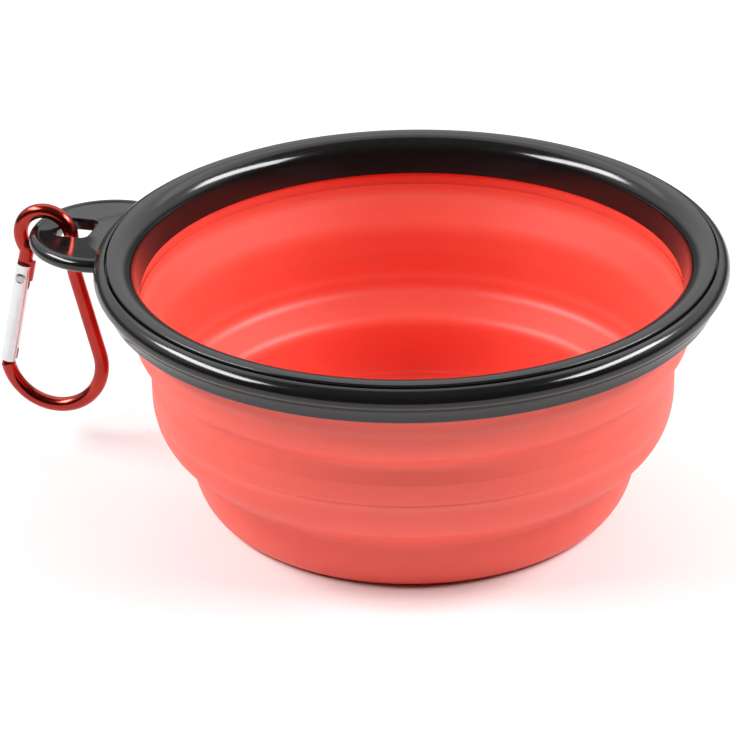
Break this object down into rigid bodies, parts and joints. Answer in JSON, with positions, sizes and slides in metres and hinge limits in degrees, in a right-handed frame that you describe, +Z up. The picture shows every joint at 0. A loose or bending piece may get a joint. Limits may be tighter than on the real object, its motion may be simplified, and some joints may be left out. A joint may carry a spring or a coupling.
{
  "type": "collapsible silicone bowl",
  "caption": "Round silicone bowl that folds flat in tiers, with a hard black rim, a round hang tab and a snap carabiner.",
  "frame": {"origin": "centre of the flat underside of the base, on the surface that the bowl stands on", "axes": "+Z up along the bowl's axis, hang tab and carabiner towards -X"},
  "size_m": [0.1556, 0.129, 0.0567],
  "materials": {
    "silicone": "satin coral silicone",
    "rim_plastic": "glossy black",
    "anodised_rod": "glossy red anodised",
    "silver_gate": "satin silver",
    "steel": "plain steel"
  },
  "bodies": {
    "base": {"base_cup": "silicone", "lower_fold": "silicone"},
    "middle": {"middle_tier": "silicone", "upper_fold": "silicone"},
    "rim": {"rim_collar": "silicone", "rim_outer_ring": "rim_plastic", "rim_inner_ring": "rim_plastic"},
    "carabiner": {"carabiner_body": "anodised_rod"},
    "gate": {"carabiner_gate": "silver_gate", "gate_rivet": "steel", "gate_plunger": "steel", "gate_spring": "steel"}
  },
  "joints": [
    {"name": "lower_fold_slide", "type": "slide", "parent": "base", "child": "middle", "axis": [0, 0, 1], "range_m": [-0.019, 0], "deforming": ["lower_fold"]},
    {"name": "upper_fold_slide", "type": "slide", "parent": "middle", "child": "rim", "axis": [0, 0, 1], "range_m": [-0.016, 0], "deforming": ["upper_fold"]},
    {"name": "carabiner_swing", "type": "hinge", "parent": "rim", "child": "carabiner", "pos_m": [-0.0788, 0, 0.0495], "axis": [0, -1, 0], "range_deg": [-90, 15]},
    {"name": "gate_hinge", "type": "hinge", "parent": "carabiner", "child": "gate", "pos_m": [-0.08471, 0, 0.03969], "axis": [0, -1, 0], "range_deg": [0, 30], "stiffness_Nm_per_rad": 0.01, "springref_deg": -28.65}
  ]
}
